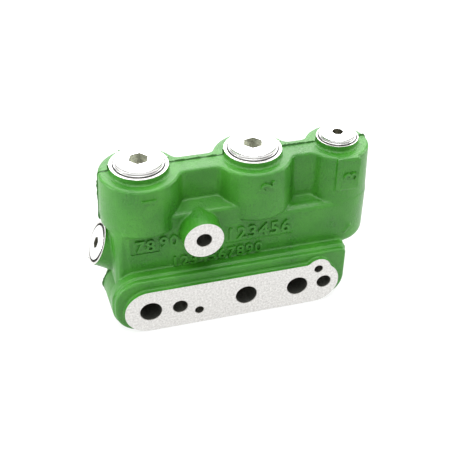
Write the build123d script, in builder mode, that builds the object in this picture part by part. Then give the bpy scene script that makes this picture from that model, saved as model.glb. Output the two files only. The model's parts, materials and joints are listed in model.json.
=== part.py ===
from build123d import *
import math
import os

# Power beyond valve: a cast iron block that is bolted to the end of a valve stack and brings out
# pressure, return and load-sensing signal. Sizes in millimetres. The origin is on the mounting
# face, midway between the two flange bolts. +X runs along the ports, +Y goes from the mounting
# face into the casting, and +Z is up, out of the port mouths.

# Mounting face: holes on one row at Z = 0, with two small holes off the row
bolt_pitch = 86.8           # between the two flange bolts
bolt_hole_d = 8.5           # clearance for M8
gallery_hole_d = 12.4       # face ports of return and pressure
gallery_xs = (-60.4, -4.2, 26.9)
return_hole_x, pressure_hole_x, beyond_hole_x = gallery_xs
signal_hole_d = 5.0
signal_hole_x, signal_hole_z = 39.5, 10.2
dowel_hole_d = 5.0
dowel_hole_x, dowel_hole_z = -32.2, -5.1
dowel_hole_depth = 10.0
upper_bolt_x, upper_bolt_z = -29.5, 45.0

# Machined pad and the flange that carries it
pad_height = 28.4
pad_left, pad_right = -75.4, 52.5
pad_ear_r = 7.3
pad_ear_fillet = 3.0
pad_step = 2.6              # the pad stands out of the flange
flange_left, flange_right = -80.1, 57.0
flange_top, flange_bottom = 20.1, -15.0
flange_corner = 15.0
flange_sharp_corner = 3.0   # upper corner under the signal port
flange_end_x, flange_end_z = -67.3, -3.0    # centre of the round left end behind the tiers
flange_end_r = 14.6
flange_end_y = 12.0
flange_end_slope = 20.0     # degrees, its slope behind the parting plane
flange_lip = 3.6            # depth of the first tier
flange_tier = 1.0           # second tier stands out by this much all round
flange_back_y = 44.0
flange_draft = 2.0          # degrees, both ways from the parting plane
flange_fillet = 1.4
flange_tier_fillet = 0.7
parting_y = 33.3

# Port barrels
port_y = 30.6               # port axes behind the mounting face
port_top_z = 80.3           # machined spot faces
return_x, pressure_x, signal_x = -58.1, 6.2, 56.3
barrel_r = 22.4
signal_barrel_r = 18.1
port_pad_height = 3.7       # spot-face pads stand on the cast top by this much
port_pad_r = 16.2
signal_pad_r = 11.9
barrel_length = 30.7
barrel_draft = 2.0          # degrees, wider downwards
web_front, web_back = 8.0, 7.4
web_fillet = 5.0
rim_fillet = 1.6
barrel_foot_fillet = 2.4

# Lower body
body_half_depth = 19.3
body_left = -77.4
body_corner = 4.0
body_bottom_z = 11.0
signal_bottom_z = 16.0
end_shoulder_z = 50.5       # shoulder at the left end, under the return barrel
end_shoulder_fillet = 3.8
ledge_left_z = 56.2         # shoulder between return and pressure barrels
ledge_right_z = 48.3        # shoulder between pressure and signal barrels
ledge_fillet = 5.0
ledge_roll = 4.95           # just under the fillet, so that it starts above the wall
body_bottom_fillet = 6.0

# Upper bolt boss, its spot face is level with the mounting face
boss_r = 11.1
boss_draft = 2.5            # degrees
bolt_seat_r = 9.0           # spot faces of the bolt heads at the back
bolt_seat_height = 2.0

# Label pad on the signal barrel, left bare
label_w, label_h, label_step = 12.6, 21.0, 0.7

# Port threads (plain bores at nominal size, the plugs are smaller by thread_clear)
large_thread_d, large_thread_depth = 22.0, 17.0
small_thread_d, small_thread_depth = 14.0, 13.0
thread_clear = 0.08
mouth_chamfer = 0.8
port_drill_d = 15.0
return_drill_bottom_z = -6.0
pressure_drill_bottom_z = -4.0

# Port plugs: head, bonded sealing washer under it, hexagon socket
large_head_r, large_head_h = 13.3, 2.2
large_shank = 13.5
large_socket, large_socket_depth = 10.0, 7.0
large_turn = 13.0           # degrees, how far the plug is screwed round
small_head_r, small_head_h = 10.0, 1.8
small_shank = 10.5
small_socket, small_socket_depth = 6.0, 5.0
small_turn = 43.0
head_chamfer = 0.6
washer_t = 0.9
washer_over = 0.6           # washer is wider than the head by this much
washer_bead = 0.35          # rubber lip inside the washer, radially

# Relief valve in a drilling that slopes down from a boss on the left end to the pressure gallery.
# Its places are distances along the axis from the rim of the boss.
relief_tilt = 24.0          # degrees, the boss looks up by this much
relief_rim_x, relief_rim_z = -84.0, 31.2
relief_boss_r = 12.4
relief_boss_draft = 7.0     # degrees
relief_boss_length = 15.0
relief_recess_r = 11.3      # the plug's head sits in this recess
relief_head_proud = 0.6
relief_bore_d = 11.0
relief_feed_d = 8.0
relief_seat_at = 54.0       # seating edge
relief_seat_t = 6.0
relief_seat_hole_d = 6.0
relief_seat_cone = 1.2      # bevel on the seat's mouth
slide_clear = 0.05          # radial running clearance of the poppet
contact_clear = 0.15        # between pieces that close on each other
poppet_length = 13.0
poppet_nose_d = 9.4
poppet_nose_length = 3.0
poppet_pocket_d, poppet_pocket_depth = 7.4, 8.0
poppet_flat = 4.7           # distance of the three flow flats from the axis
poppet_cone = 45.0          # degrees, half angle of the nose
spring_d = 7.0
spring_wire = 1.2
spring_coils = 6
spring_end_clear = 0.1
shim_d, shim_t = 11.0, 1.0
shim_hole_d = 4.0
seat_groove_w, seat_groove_depth = 1.8, 1.4
seat_ring_wire = 1.35

# Signal check valve, below the signal port
cage_d = 9.0
cage_floor = 2.0
cage_slot = 1.6
check_ball_d = 6.0
check_ball_clear = 0.3
check_stroke = 2.0
check_seat_t = 5.0
check_seat_hole_d = 3.6
signal_drill_d = 4.4
signal_cross_z = 27.0
signal_cross_d = 4.0
signal_cross_end_x = 37.0
signal_mouth_depth = 10.0
signal_slope_d = 3.6
orifice_d, orifice_length, orifice_bore_d = 4.4, 6.0, 1.0
orifice_below_cage = 3.0

# Expander plug of the signal cross drilling, on the right end
expander_d, expander_length = 7.0, 6.5
expander_wall = 0.9
expander_ball_d = 5.2
expander_recess = 0.6

# Cored gallery that joins the pressure drilling to its second face port
core_d = 11.0
core_z = 14.3

run_out = 1.0               # cutters start this far outside a curved or open face

os.makedirs("parts", exist_ok=True)

# Worked out from the sizes above
row_z = 0.0
cast_top_z = port_top_z - port_pad_height
roll_start_z = ledge_right_z - ledge_fillet
body_front = port_y - body_half_depth
flange_front_y = pad_step
bolt_xs = (-bolt_pitch / 2, bolt_pitch / 2)
body_right = signal_x + body_half_depth
check_seat_top_z = port_top_z - small_thread_depth
check_seat_z = check_seat_top_z - check_seat_t
ball_r = check_ball_d / 2
ball_to_seat = math.sqrt(ball_r ** 2 - (check_seat_hole_d / 2) ** 2)
ball_z = check_seat_z - ball_to_seat - contact_clear - check_stroke
cage_floor_z = ball_z - ball_r - contact_clear
cage_bottom_z = cage_floor_z - cage_floor
orifice_top_z = cage_bottom_z - orifice_below_cage
relief_plug_at = washer_t + small_head_h - relief_head_proud
relief_seat_r = relief_seat_hole_d / 2 + relief_seat_cone
poppet_shoulder_at = relief_seat_at - (poppet_nose_d / 2 - relief_seat_r) - contact_clear * math.sqrt(2)
poppet_back_at = poppet_shoulder_at - poppet_length
shim_at = relief_plug_at + small_shank
spring_start_at = shim_at + shim_t + spring_end_clear
spring_end_at = poppet_back_at + poppet_pocket_depth - spring_end_clear
tilt_cos, tilt_sin = math.cos(math.radians(relief_tilt)), math.sin(math.radians(relief_tilt))
relief_reach = (pressure_hole_x - relief_rim_x) / tilt_cos


def at_y(y):
    """Plane that faces the mounting side, with its own X and Z like the part's."""
    return Plane(origin=(0, y, 0), x_dir=(1, 0, 0), z_dir=(0, -1, 0))


def at_x(x, z):
    """Plane across a drilling that runs along X through the port axes, its normal along +X."""
    return Plane(origin=(x, port_y, z), x_dir=(0, 1, 0), z_dir=(1, 0, 0))


def drill(mouth, diameter, depth):
    """Cuts a round hole from its mouth plane, against the plane's normal."""
    with BuildSketch(mouth) as hole:
        Circle(diameter / 2)
    extrude(hole.sketch, amount=-depth, mode=Mode.SUBTRACT)


def port_plane(x):
    return Plane(origin=(x, port_y, port_top_z), x_dir=(1, 0, 0), z_dir=(0, 0, 1))


def face_plane(x, z):
    return Plane(origin=(x, 0, z), x_dir=(1, 0, 0), z_dir=(0, -1, 0))


def relief_point(distance):
    """Point on the relief valve's axis, measured inwards from the rim of its boss."""
    return Vector(relief_rim_x + distance * tilt_cos, port_y, relief_rim_z - distance * tilt_sin)


def relief_out(distance):
    """Plane across the relief valve's axis that faces out of the boss."""
    return Plane(origin=relief_point(distance), x_dir=(0, 1, 0), z_dir=(-tilt_cos, 0, tilt_sin))


def relief_in(distance):
    """The same plane, facing into the casting."""
    return Plane(origin=relief_point(distance), x_dir=(0, 1, 0), z_dir=(tilt_cos, 0, -tilt_sin))


# Upper casting: three barrels that widen downwards, and the web between them
with BuildPart() as barrels:
    with BuildSketch(Plane.XY.offset(cast_top_z)) as upper_plan:
        with Locations((return_x, port_y), (pressure_x, port_y)):
            Circle(barrel_r)
        with Locations((signal_x, port_y)):
            Circle(signal_barrel_r)
        with Locations(((return_x + signal_x) / 2, port_y + (web_back - web_front) / 2)):
            Rectangle(signal_x - return_x, web_front + web_back)
        inner_corners = [v for v in upper_plan.vertices()
                         if min(abs(v.Y - port_y + web_front), abs(v.Y - port_y - web_back)) < 0.01]
        fillet(inner_corners, web_fillet)
    extrude(amount=-barrel_length, taper=-barrel_draft)
    fillet(barrels.faces().sort_by(Axis.Z)[-1].outer_wire().edges(), rim_fillet)
    fillet(barrels.faces().sort_by(Axis.Z)[0].outer_wire().edges(), barrel_foot_fillet)

# Lower casting under the return barrel, its shoulder rolled over at the front and back
with BuildPart() as return_side:
    with BuildSketch(Plane.XY.offset(body_bottom_z)):
        with Locations(((return_x + pressure_x) / 2, port_y)):
            Rectangle(pressure_x - return_x, 2 * body_half_depth)
    extrude(amount=ledge_left_z - body_bottom_z)
    shoulder = return_side.faces().sort_by(Axis.Z)[-1].edges().filter_by(Axis.X)
    fillet(shoulder, ledge_fillet)

# Its left end is lower, so that the barrel stands out over it
with BuildPart() as return_end:
    with BuildSketch(Plane.XY.offset(body_bottom_z)) as end_plan:
        with Locations(((body_left + return_x) / 2, port_y)):
            Rectangle(return_x - body_left, 2 * body_half_depth)
        fillet(end_plan.vertices().group_by(Axis.X)[0], body_corner)
    extrude(amount=end_shoulder_z - body_bottom_z)
    rolled = return_end.faces().sort_by(Axis.Z)[-1].edges().sort_by(Axis.X)[:-1]
    fillet(rolled, end_shoulder_fillet)

# Lower casting under the signal barrel, with a round end and a rolled underside
with BuildPart() as signal_side:
    with BuildSketch(Plane.XY.offset(signal_bottom_z)) as signal_plan:
        with Locations(((pressure_x + signal_x) / 2, port_y)):
            Rectangle(signal_x - pressure_x, 2 * body_half_depth)
        with Locations((signal_x, port_y)):
            Circle(body_half_depth)
    extrude(amount=roll_start_z - signal_bottom_z)
    underside = signal_side.faces().sort_by(Axis.Z)[0].edges().sort_by(Axis.X)[1:]
    fillet(underside, body_bottom_fillet)
    with BuildSketch(at_x(pressure_x, roll_start_z)):
        with BuildLine():
            Polyline((-body_half_depth, -ledge_fillet), (-body_half_depth, ledge_fillet),
                     (body_half_depth, ledge_fillet), (body_half_depth, -ledge_fillet), close=True)
        make_face()
        fillet(vertices().group_by(Axis.Z)[-1], ledge_roll)
    extrude(amount=signal_x - pressure_x)
    with BuildSketch(Plane.XY.offset(roll_start_z)):
        with Locations((signal_x, port_y)):
            Circle(body_half_depth)
    extrude(amount=ledge_fillet)


def flange_outline(plan, centre, width, height, wider):
    """Flange outline with one small upper corner, wider all round than the lip by the last value."""
    with Locations(centre):
        Rectangle(width + 2 * wider, height + 2 * wider)
    by_x = plan.vertices().group_by(Axis.X)
    fillet([*by_x[0], by_x[-1].sort_by(Axis.Y)[0]], flange_corner + wider)
    fillet(plan.vertices().group_by(Axis.Y)[-1].sort_by(Axis.X)[-1], flange_sharp_corner + wider)


# Flange with draft both ways from the parting plane, and a lip one tier smaller in front
with BuildPart() as flange:
    tier_y = flange_front_y + flange_lip
    growth = (parting_y - tier_y) * math.tan(math.radians(flange_draft))
    flange_w, flange_h = flange_right - flange_left, flange_top - flange_bottom
    flange_centre = ((flange_left + flange_right) / 2, (flange_top + flange_bottom) / 2)
    for toward, depth in ((1, parting_y - tier_y), (-1, flange_back_y - parting_y)):
        with BuildSketch(at_y(parting_y)) as flange_plan:
            flange_outline(flange_plan, flange_centre, flange_w, flange_h, flange_tier + growth)
        extrude(amount=toward * depth, taper=flange_draft)
    fillet(flange.faces().sort_by(Axis.Y)[0].outer_wire().edges(), flange_tier_fillet)
    with BuildSketch(at_y(tier_y)) as lip_plan:
        flange_outline(lip_plan, flange_centre, flange_w, flange_h, 0)
    extrude(amount=flange_lip)
    fillet(flange.faces().sort_by(Axis.Y)[0].outer_wire().edges(), flange_fillet)
    for depth, slope in ((parting_y - flange_end_y, flange_draft),
                         (parting_y - flange_back_y, flange_end_slope)):
        with BuildSketch(at_y(parting_y)):
            with Locations((flange_end_x, flange_end_z)):
                Rectangle(3 * flange_end_r, 4 * flange_end_r, align=(Align.MAX, Align.CENTER))
                Circle(flange_end_r, mode=Mode.SUBTRACT)
        extrude(amount=depth, taper=-slope, mode=Mode.SUBTRACT)
    split(bisect_by=Plane.XY.offset(flange_bottom), keep=Keep.TOP)


# The whole casting, machined: spot faces, port threads, galleries and drillings
with BuildPart() as valve_body:
    add([barrels.part, return_side.part, return_end.part, signal_side.part, flange.part])

    # Raised pads that the port spot faces are cut on
    for x, pad_r in ((return_x, port_pad_r), (pressure_x, port_pad_r), (signal_x, signal_pad_r)):
        with BuildSketch(port_plane(x)):
            Circle(pad_r)
        extrude(amount=-(port_pad_height + rim_fillet))

    # Boss at the left end for the relief valve
    with BuildSketch(relief_out(0)):
        Circle(relief_boss_r)
    extrude(amount=-relief_boss_length, taper=-relief_boss_draft)

    # Mounting pad with its ear, standing out of the flange
    with BuildSketch(at_y(flange_front_y)) as pad_plan:
        with Locations(((pad_left + pad_right) / 2, row_z)):
            SlotOverall(pad_right - pad_left, pad_height)
        ear = Vector(signal_hole_x, signal_hole_z)
        with Locations(ear):
            Circle(pad_ear_r)
        junctions = [v for v in pad_plan.vertices() if abs((Vector(v) - ear).length - pad_ear_r) < 0.01]
        fillet(junctions, pad_ear_fillet)
    extrude(amount=pad_step)

    # Upper bolt boss, level with the mounting pad, and bolt seats at the back
    with BuildSketch(face_plane(upper_bolt_x, upper_bolt_z)):
        Circle(boss_r)
    extrude(amount=-(body_front + ledge_fillet), taper=-boss_draft)
    for x, z, back in ((bolt_xs[0], row_z, flange_back_y), (bolt_xs[1], row_z, flange_back_y),
                       (upper_bolt_x, upper_bolt_z, port_y + body_half_depth)):
        with BuildSketch(at_y(back + bolt_seat_height)):
            with Locations((x, z)):
                Circle(bolt_seat_r)
        extrude(amount=bolt_seat_height + ledge_fillet)

    # Bare label pad on the signal barrel
    with BuildSketch(at_y(port_y - signal_barrel_r - label_step)) as label_plan:
        with Locations((signal_x, cast_top_z - label_h / 2)):
            Rectangle(label_w, label_h)
    extrude(amount=-(label_step + signal_barrel_r / 2))

    # Port threads and the drillings below them
    for x, thread_d, thread_depth in ((return_x, large_thread_d, large_thread_depth),
                                      (pressure_x, large_thread_d, large_thread_depth),
                                      (signal_x, small_thread_d, small_thread_depth)):
        drill(port_plane(x), thread_d, thread_depth)
        chamfer(valve_body.faces().filter_by(Axis.Z).group_by(Axis.Z)[-1].faces().sort_by_distance(
            (x, port_y, port_top_z))[0].inner_wires().edges(), mouth_chamfer)
    drill(port_plane(return_x), port_drill_d, port_top_z - return_drill_bottom_z)
    drill(port_plane(pressure_x), port_drill_d, port_top_z - pressure_drill_bottom_z)
    drill(port_plane(signal_x), cage_d, port_top_z - cage_bottom_z)
    drill(port_plane(signal_x), signal_drill_d, port_top_z - signal_cross_z)

    # Holes in the mounting face
    for x in gallery_xs:
        drill(face_plane(x, row_z), gallery_hole_d, port_y)
    for x in bolt_xs:
        drill(face_plane(x, row_z), bolt_hole_d, flange_back_y + 2 * bolt_seat_height)
    drill(face_plane(upper_bolt_x, upper_bolt_z), bolt_hole_d, 2 * port_y + 2 * body_half_depth)
    drill(face_plane(dowel_hole_x, dowel_hole_z), dowel_hole_d, dowel_hole_depth)

    # Signal passage: straight mouth, inclined drilling, and the cross drilling from the right end
    drill(face_plane(signal_hole_x, signal_hole_z), signal_hole_d, signal_mouth_depth)
    rise, run = signal_cross_z - signal_hole_z, port_y - signal_mouth_depth + signal_cross_d / 4
    slope_start = Plane(origin=(signal_hole_x, port_y, signal_cross_z), x_dir=(1, 0, 0), z_dir=(0, run, rise))
    drill(slope_start, signal_slope_d, math.hypot(rise, run))
    outside = at_x(body_right + run_out, signal_cross_z)
    drill(outside, signal_cross_d, body_right + run_out - signal_cross_end_x)
    drill(outside, expander_d, expander_length + expander_recess + run_out)

    # Cored gallery from the pressure drilling to its second face port
    with BuildSketch(at_x(pressure_x, core_z)):
        Circle(core_d / 2)
    extrude(amount=beyond_hole_x - pressure_x, mode=Mode.SUBTRACT)
    with Locations((beyond_hole_x, port_y, core_z)):
        Sphere(core_d / 2, mode=Mode.SUBTRACT)
    with BuildSketch(Plane.XY.offset(core_z)):
        with Locations((beyond_hole_x, port_y)):
            Circle(core_d / 2)
    extrude(amount=-(core_z - row_z), mode=Mode.SUBTRACT)
    with Locations((beyond_hole_x, port_y, row_z)):
        Sphere(core_d / 2, mode=Mode.SUBTRACT)

    # Recess and bore of the relief valve, and its feed from the pressure gallery
    drill(relief_out(0), 2 * relief_recess_r, relief_plug_at)
    drill(relief_out(relief_plug_at), small_thread_d, small_thread_depth)
    drill(relief_out(0), relief_bore_d, relief_seat_at + relief_seat_t)
    drill(relief_out(0), relief_feed_d, relief_reach)

valve_body.part.label = "valve_body"
export_step(valve_body.part, "parts/valve_body.step")


def port_plug(seat, head_r, head_h, thread_d, shank, socket, socket_depth, turn):
    """Hexagon socket screw plug whose washer lies on the seat plane."""
    with BuildPart() as plug:
        with BuildSketch(seat.offset(washer_t)):
            Circle(head_r)
        extrude(amount=head_h)
        top = seat.offset(washer_t + head_h)
        chamfer(plug.edges().filter_by(GeomType.CIRCLE).sort_by_distance(top.origin)[0:1], head_chamfer)
        with BuildSketch(seat.offset(washer_t)):
            Circle(thread_d / 2 - thread_clear)
        extrude(amount=-(shank + washer_t))
        tip = seat.offset(-shank)
        chamfer(plug.edges().filter_by(GeomType.CIRCLE).sort_by_distance(tip.origin)[0:1], mouth_chamfer)
        with BuildSketch(top):
            RegularPolygon(socket / 2, side_count=6, major_radius=False, rotation=turn)
        extrude(amount=-socket_depth, mode=Mode.SUBTRACT)
    return plug


def sealing_washer(seat, head_r, thread_d):
    """Bonded washer between a plug's head and its spot face."""
    with BuildPart() as washer:
        with BuildSketch(seat):
            Circle(head_r + washer_over)
            Circle(thread_d / 2 + washer_bead, mode=Mode.SUBTRACT)
        extrude(amount=washer_t)
    return washer


# The four screw plugs and their washers
large = (large_head_r, large_head_h, large_thread_d, large_shank, large_socket, large_socket_depth,
         large_turn)
small = (small_head_r, small_head_h, small_thread_d, small_shank, small_socket, small_socket_depth,
         small_turn)
for place, seat, sizes in (("return_port", port_plane(return_x), large),
                           ("pressure_port", port_plane(pressure_x), large),
                           ("signal_port", port_plane(signal_x), small),
                           ("relief", relief_out(relief_plug_at), small)):
    plug = port_plug(seat, *sizes)
    plug.part.label = place + "_plug"
    export_step(plug.part, f"parts/{place}_plug.step")
    washer = sealing_washer(seat, sizes[0], sizes[2])
    washer.part.label = place + "_washer"
    export_step(washer.part, f"parts/{place}_washer.step")

# Relief seat, pressed to the shoulder of its bore, with an O-ring groove
with BuildPart() as relief_seat:
    with BuildSketch(relief_in(relief_seat_at)):
        Circle(relief_bore_d / 2)
        Circle(relief_seat_hole_d / 2, mode=Mode.SUBTRACT)
    extrude(amount=relief_seat_t)
    rims = relief_seat.edges().filter_by(GeomType.CIRCLE).sort_by_distance(relief_point(0))
    chamfer(rims.sort_by(SortBy.RADIUS)[0:2].sort_by_distance(relief_point(0))[0], relief_seat_cone)
    with BuildSketch(relief_in(relief_seat_at + (relief_seat_t - seat_groove_w) / 2)):
        Circle(relief_bore_d)
        Circle(relief_bore_d / 2 - seat_groove_depth, mode=Mode.SUBTRACT)
    extrude(amount=seat_groove_w, mode=Mode.SUBTRACT)
relief_seat.part.label = "relief_seat"
export_step(relief_seat.part, "parts/relief_seat.step")

with BuildPart() as relief_seat_ring:
    ring_centre = relief_point(relief_seat_at + relief_seat_t / 2)
    with BuildSketch(Plane(origin=ring_centre, x_dir=(tilt_cos, 0, -tilt_sin), z_dir=(0, -1, 0))):
        with Locations((0, relief_bore_d / 2 - seat_ring_wire / 2)):
            Circle(seat_ring_wire / 2)
    revolve(axis=Axis(ring_centre, (tilt_cos, 0, -tilt_sin)))
relief_seat_ring.part.label = "relief_seat_ring"
export_step(relief_seat_ring.part, "parts/relief_seat_ring.step")

# Relief poppet: cone nose, three flow flats and a spring pocket
with BuildPart() as relief_poppet:
    poppet_r = relief_bore_d / 2 - slide_clear
    with BuildSketch(relief_in(poppet_back_at)) as poppet_section:
        Circle(poppet_r)
        with PolarLocations(poppet_flat + poppet_r / 2, 3, start_angle=90):
            Rectangle(poppet_r, 2 * poppet_r, mode=Mode.SUBTRACT)
    extrude(amount=poppet_length)
    with BuildSketch(relief_in(poppet_shoulder_at)):
        Circle(poppet_nose_d / 2)
    extrude(amount=poppet_nose_length, taper=poppet_cone)
    drill(relief_out(poppet_back_at), poppet_pocket_d, poppet_pocket_depth)
relief_poppet.part.label = "relief_poppet"
export_step(relief_poppet.part, "parts/relief_poppet.step")

# Relief spring between the shim and the poppet's pocket
with BuildPart() as relief_spring:
    length = spring_end_at - spring_start_at - spring_wire
    with BuildLine() as spring_line:
        Helix(pitch=length / spring_coils, height=length, radius=(spring_d - spring_wire) / 2,
              center=relief_point(spring_start_at + spring_wire / 2), direction=(tilt_cos, 0, -tilt_sin))
    with BuildSketch(spring_line.line ^ 0):
        Circle(spring_wire / 2)
    sweep()
relief_spring.part.label = "relief_spring"
export_step(relief_spring.part, "parts/relief_spring.step")

with BuildPart() as spring_shim:
    with BuildSketch(relief_in(shim_at)):
        Circle(shim_d / 2)
        Circle(shim_hole_d / 2, mode=Mode.SUBTRACT)
    extrude(amount=shim_t)
spring_shim.part.label = "spring_shim"
export_step(spring_shim.part, "parts/spring_shim.step")

# Signal check valve: cage, ball, seat and the orifice below
with BuildPart() as check_cage:
    with BuildSketch(Plane.XY.offset(cage_bottom_z)):
        with Locations((signal_x, port_y)):
            Circle(cage_d / 2)
    extrude(amount=check_seat_z - cage_bottom_z)
    guide_d = check_ball_d + 2 * check_ball_clear
    drill(Plane(origin=(signal_x, port_y, check_seat_z)), guide_d, check_seat_z - cage_floor_z)
    with BuildSketch(Plane.XY.offset(cage_bottom_z)):
        with Locations((signal_x, port_y)):
            Rectangle(guide_d, cage_slot)
            Rectangle(cage_slot, guide_d)
    extrude(amount=cage_floor, mode=Mode.SUBTRACT)
check_cage.part.label = "check_cage"
export_step(check_cage.part, "parts/check_cage.step")

with BuildPart() as check_ball:
    with Locations((signal_x, port_y, ball_z)):
        Sphere(ball_r)
check_ball.part.label = "check_ball"
export_step(check_ball.part, "parts/check_ball.step")

with BuildPart() as check_seat:
    with BuildSketch(Plane.XY.offset(check_seat_z)):
        with Locations((signal_x, port_y)):
            Circle(cage_d / 2)
            Circle(check_seat_hole_d / 2, mode=Mode.SUBTRACT)
    extrude(amount=check_seat_t)
check_seat.part.label = "check_seat"
export_step(check_seat.part, "parts/check_seat.step")

with BuildPart() as signal_orifice:
    with BuildSketch(Plane.XY.offset(orifice_top_z)):
        with Locations((signal_x, port_y)):
            Circle(orifice_d / 2)
            Circle(orifice_bore_d / 2, mode=Mode.SUBTRACT)
    extrude(amount=-orifice_length)
signal_orifice.part.label = "signal_orifice"
export_step(signal_orifice.part, "parts/signal_orifice.step")

# Expander plug that closes the signal cross drilling: a cup and the ball pressed into it
expander_x = body_right - expander_recess
with BuildPart() as expander_sleeve:
    with BuildSketch(at_x(expander_x, signal_cross_z)):
        Circle(expander_d / 2)
    extrude(amount=-expander_length)
    drill(at_x(expander_x, signal_cross_z), expander_ball_d, expander_length - expander_wall)
expander_sleeve.part.label = "expander_sleeve"
export_step(expander_sleeve.part, "parts/expander_sleeve.step")

with BuildPart() as expander_ball:
    pressed_x = expander_x - expander_length + expander_wall + expander_ball_d / 2
    with Locations((pressed_x, port_y, signal_cross_z)):
        Sphere(expander_ball_d / 2)
expander_ball.part.label = "expander_ball"
export_step(expander_ball.part, "parts/expander_ball.step")
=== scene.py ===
import bpy
import bmesh
import json
import math
from mathutils import Matrix, Vector, noise


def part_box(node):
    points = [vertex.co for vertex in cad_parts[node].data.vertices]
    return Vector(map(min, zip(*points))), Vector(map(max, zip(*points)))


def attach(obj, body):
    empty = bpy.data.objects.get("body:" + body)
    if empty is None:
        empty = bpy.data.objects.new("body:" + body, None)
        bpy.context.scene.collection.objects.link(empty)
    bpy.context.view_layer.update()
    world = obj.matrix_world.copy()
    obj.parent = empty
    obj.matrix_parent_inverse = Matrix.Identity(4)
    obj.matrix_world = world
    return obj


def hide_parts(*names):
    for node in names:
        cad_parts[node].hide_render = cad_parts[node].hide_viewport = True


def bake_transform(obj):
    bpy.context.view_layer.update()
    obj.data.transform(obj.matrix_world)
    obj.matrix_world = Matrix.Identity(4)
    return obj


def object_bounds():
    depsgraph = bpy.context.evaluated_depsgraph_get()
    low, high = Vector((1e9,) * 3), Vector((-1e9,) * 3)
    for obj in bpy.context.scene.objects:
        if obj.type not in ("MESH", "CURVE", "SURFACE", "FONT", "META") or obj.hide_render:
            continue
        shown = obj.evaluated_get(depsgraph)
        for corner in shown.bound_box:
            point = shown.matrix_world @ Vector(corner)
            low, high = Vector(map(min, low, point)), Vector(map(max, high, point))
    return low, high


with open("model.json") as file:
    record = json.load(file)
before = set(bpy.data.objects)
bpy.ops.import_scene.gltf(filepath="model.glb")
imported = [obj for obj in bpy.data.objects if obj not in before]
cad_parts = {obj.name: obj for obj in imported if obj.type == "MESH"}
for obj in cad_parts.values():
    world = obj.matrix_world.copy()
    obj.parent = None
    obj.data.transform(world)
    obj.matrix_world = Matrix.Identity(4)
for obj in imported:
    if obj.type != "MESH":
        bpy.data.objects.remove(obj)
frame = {"nodes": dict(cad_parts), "record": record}
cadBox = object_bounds()
mm = 0.001

# Camera
cameraView = {
    "azimuth": -16.8,        # degrees round Z, 0 looks along +Y
    "elevation": 37.35,
    "roll": 1.32,
    "lens": 74.46,           # on a 36 mm sensor
    "place": (-133.8, -388.3, 361.0),       # mm
}


def makeCamera(view):
    azimuth, elevation, roll = (math.radians(view[key]) for key in ("azimuth", "elevation", "roll"))
    back = Vector((math.sin(azimuth) * math.cos(elevation), -math.cos(azimuth) * math.cos(elevation),
                   math.sin(elevation)))
    right = (-back).cross(Vector((0, 0, 1))).normalized()
    up = back.cross(right)
    facing = Matrix((right, up, back)).transposed().to_4x4() @ Matrix.Rotation(roll, 4, "Z")
    data = bpy.data.cameras.new("camera")
    data.lens = view["lens"]
    data.clip_start = 0.01
    camera = bpy.data.objects.new("camera", data)
    camera.matrix_world = Matrix.Translation(Vector(view["place"]) * mm) @ facing
    bpy.context.scene.collection.objects.link(camera)
    bpy.context.scene.camera = camera


makeCamera(cameraView)
bpy.context.scene.view_settings.view_transform = "Standard"
print("camera done")


# Small helpers for node trees
def addNode(tree, kind, place=(0, 0), **settings):
    node = tree.nodes.new(kind)
    node.location = place
    for name, value in settings.items():
        if name.startswith("in_"):
            node.inputs[name[3:].replace("_", " ")].default_value = value
        else:
            setattr(node, name, value)
    return node


def link(tree, source, target):
    tree.links.new(source, target)


def newMaterial(name, **values):
    material = bpy.data.materials.new(name)
    material.use_nodes = True
    tree = material.node_tree
    shader = tree.nodes["Principled BSDF"]
    for socket, value in values.items():
        shader.inputs[socket.replace("_", " ")].default_value = value
    return material, tree, shader


# Floor, backdrop and lamps
stageLook = {
    "floorSize": 8.0,
    "floorColour": (0.8, 0.8, 0.8, 1),
    "seenColour": (0.22, 0.22, 0.22, 1),    # what the camera sees of the floor keeps a faint shadow
    "seenGlow": 0.84,
    "worldLight": 0.20,
    "lamps": {
        "top": {"place": (-0.1, -0.15, 1.3), "size": 1.1, "watts": 19.0},
        "back": {"place": (0.2, 1.0, 0.85), "size": 1.4, "watts": 24.0},
        "front": {"place": (-0.4, -1.3, 0.35), "size": 0.8, "watts": 4.0},
        "left": {"place": (-1.2, 0.1, 0.4), "size": 0.7, "watts": 12.0},
        "right": {"place": (1.2, 0.0, 0.4), "size": 0.7, "watts": 10.0},
    },
}


def seenMask(tree):
    # 1 for camera, glossy and transmission rays, so that metal shows the same white
    paths = addNode(tree, "ShaderNodeLightPath", (-900, 300))
    first = addNode(tree, "ShaderNodeMath", (-700, 300), operation="MAXIMUM")
    both = addNode(tree, "ShaderNodeMath", (-500, 300), operation="MAXIMUM")
    link(tree, paths.outputs["Is Camera Ray"], first.inputs[0])
    link(tree, paths.outputs["Is Glossy Ray"], first.inputs[1])
    link(tree, first.outputs[0], both.inputs[0])
    link(tree, paths.outputs["Is Transmission Ray"], both.inputs[1])
    return both.outputs[0]


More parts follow.
